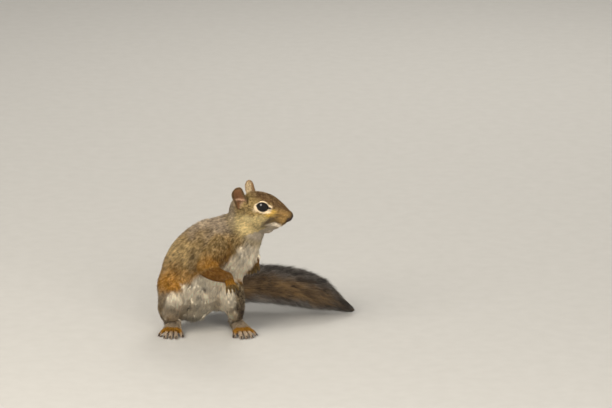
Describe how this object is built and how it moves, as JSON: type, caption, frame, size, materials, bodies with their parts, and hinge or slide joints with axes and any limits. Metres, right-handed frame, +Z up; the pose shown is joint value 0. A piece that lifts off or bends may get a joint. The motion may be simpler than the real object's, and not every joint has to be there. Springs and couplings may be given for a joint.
{
  "type": "grey squirrel model",
  "caption": "Still life-size grey squirrel crouching on its hind feet, hands held to the chest, head turned aside and bushy tail laid along the floor.",
  "frame": {"origin": "centre of the bounding box's base, on the floor", "axes": "+X the way the head looks and the tail lies, -Y the front that the belly and feet face, +Z up"},
  "size_m": [0.2138, 0.1634, 0.1651],
  "materials": {
    "back_coat": "grizzled grey-brown fur",
    "rusty_coat": "rust-brown fur",
    "belly_coat": "creamy white fur",
    "face_coat": "short olive-brown fur",
    "tail_coat": "long banded grey hair",
    "ear_skin": "thin downy ear",
    "foot_skin": "short orange fur over skin",
    "nose_skin": "bare dark skin",
    "claw_horn": "dark horn",
    "eye_glass": "glossy near-black"
  },
  "bodies": {
    "root": {"head": "face_coat", "neck": "back_coat", "chest": "back_coat", "abdomen": "belly_coat", "ear_right": "ear_skin", "ear_left": "ear_skin", "eye_right": "eye_glass", "eye_left": "eye_glass", "upper_arm_right": "rusty_coat", "upper_arm_left": "rusty_coat", "forearm_right": "rusty_coat", "forearm_left": "rusty_coat", "hand_right": "foot_skin", "hand_left": "foot_skin", "thigh_right": "rusty_coat", "thigh_left": "rusty_coat", "shin_right": "back_coat", "shin_left": "back_coat", "foot_right": "foot_skin", "foot_left": "foot_skin", "tail_base": "tail_coat", "tail_middle": "tail_coat", "tail_end": "tail_coat", "tail_tip": "tail_coat"}
  },
  "joints": []
}
